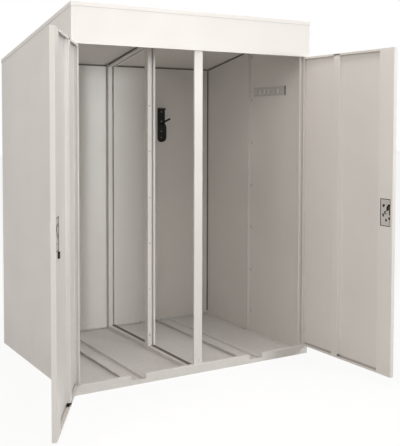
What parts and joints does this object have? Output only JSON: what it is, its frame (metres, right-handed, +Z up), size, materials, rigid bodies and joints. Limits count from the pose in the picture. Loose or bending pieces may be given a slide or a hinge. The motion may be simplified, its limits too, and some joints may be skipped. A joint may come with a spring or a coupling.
{
  "type": "bicycle locker",
  "caption": "Sheet steel bicycle locker with a sloping roof, two bays, an open framed divider, wheel channels, wall hooks and hinged doors with rod locks, stored standing open.",
  "frame": {"origin": "middle of the footprint on the underside of the floor tray, on the ground", "axes": "+X to the right as seen from the front, +Y to the rear wall, +Z up"},
  "size_m": [1.8672, 1.8803, 2],
  "materials": {
    "shell_paint": "fine semi-gloss powder coat, warm off-white",
    "inner_paint": "powder coat, slightly duller inside",
    "black_parts": "black plastic-coated steel",
    "zinc_steel": "bright zinc-plated steel",
    "lock_metal": "satin zinc casting and plate"
  },
  "bodies": {
    "cabinet": {"centre_post": "shell_paint", "divider_front_far_stile": "inner_paint", "divider_front_floor_rail": "inner_paint", "divider_front_roof_rail": "inner_paint", "divider_rear_far_stile": "inner_paint", "divider_rear_floor_rail": "inner_paint", "divider_rear_near_stile": "inner_paint", "divider_rear_roof_rail": "inner_paint", "floor_tray": "inner_paint", "header": "shell_paint", "left_coat_rail": "inner_paint", "left_hinge_jamb": "shell_paint", "left_lower_pivot": "shell_paint", "left_side_front_panel": "shell_paint", "left_side_rear_panel": "shell_paint", "left_upper_pivot": "shell_paint", "left_wheel_hook": "black_parts", "rear_panel_left": "shell_paint", "rear_panel_right": "shell_paint", "right_coat_rail": "inner_paint", "right_hinge_jamb": "shell_paint", "right_lower_pivot": "shell_paint", "right_side_front_panel": "shell_paint", "right_side_rear_panel": "shell_paint", "right_upper_pivot": "shell_paint", "right_wheel_hook": "black_parts", "roof_cap_left": "shell_paint", "roof_cap_right": "shell_paint", "sill": "shell_paint", "wheel_channel_left": "inner_paint", "wheel_channel_right": "inner_paint"},
    "left_door": {"left_door_pan": "shell_paint", "left_door_stiffener": "shell_paint", "left_handle_rosette": "lock_metal", "left_lock_case": "black_parts", "left_lock_cover": "lock_metal", "left_lock_stile": "shell_paint", "left_window_stop": "black_parts"},
    "left_handle": {"left_handle": "lock_metal", "left_pinion": "zinc_steel"},
    "left_upper_rod": {"left_upper_rod": "zinc_steel"},
    "left_lower_rod": {"left_lower_rod": "zinc_steel"},
    "right_door": {"right_door_pan": "shell_paint", "right_door_stiffener": "shell_paint", "right_handle_rosette": "lock_metal", "right_lock_case": "black_parts", "right_lock_cover": "lock_metal", "right_lock_stile": "shell_paint"},
    "right_handle": {"right_handle": "lock_metal", "right_pinion": "zinc_steel"},
    "right_upper_rod": {"right_upper_rod": "zinc_steel"},
    "right_lower_rod": {"right_lower_rod": "zinc_steel"}
  },
  "joints": [
    {"name": "left_door_hinge", "type": "hinge", "parent": "cabinet", "child": "left_door", "pos_m": [-0.74, -0.5697, 0.9], "axis": [0, 0, 1], "range_deg": [0, 119.5]},
    {"name": "right_door_hinge", "type": "hinge", "parent": "cabinet", "child": "right_door", "pos_m": [0.74, -0.5697, 0.9], "axis": [0, 0, -1], "range_deg": [-29, 90.5]},
    {"name": "left_handle_turn", "type": "hinge", "parent": "left_door", "child": "left_handle", "pos_m": [-1.07534, -1.16241, 0.923], "axis": [0.8704, -0.4924, 0], "range_deg": [0, 90]},
    {"name": "left_upper_rod_slide", "type": "slide", "parent": "left_door", "child": "left_upper_rod", "axis": [0, 0, 1], "range_m": [0, 0.01885]},
    {"name": "left_lower_rod_slide", "type": "slide", "parent": "left_door", "child": "left_lower_rod", "axis": [0, 0, -1], "range_m": [0, 0.01885]},
    {"name": "right_handle_turn", "type": "hinge", "parent": "right_door", "child": "right_handle", "pos_m": [0.74594, -1.25067, 0.923], "axis": [1, 0.0087, 0], "range_deg": [0, 90]},
    {"name": "right_upper_rod_slide", "type": "slide", "parent": "right_door", "child": "right_upper_rod", "axis": [0, 0, 1], "range_m": [0, 0.01885]},
    {"name": "right_lower_rod_slide", "type": "slide", "parent": "right_door", "child": "right_lower_rod", "axis": [0, 0, -1], "range_m": [0, 0.01885]}
  ],
  "couplings": [
    {"joint": "left_upper_rod_slide", "follows": "left_handle_turn", "m_per_rad": 0.012},
    {"joint": "left_lower_rod_slide", "follows": "left_handle_turn", "m_per_rad": 0.012},
    {"joint": "right_upper_rod_slide", "follows": "right_handle_turn", "m_per_rad": 0.012},
    {"joint": "right_lower_rod_slide", "follows": "right_handle_turn", "m_per_rad": 0.012}
  ]
}
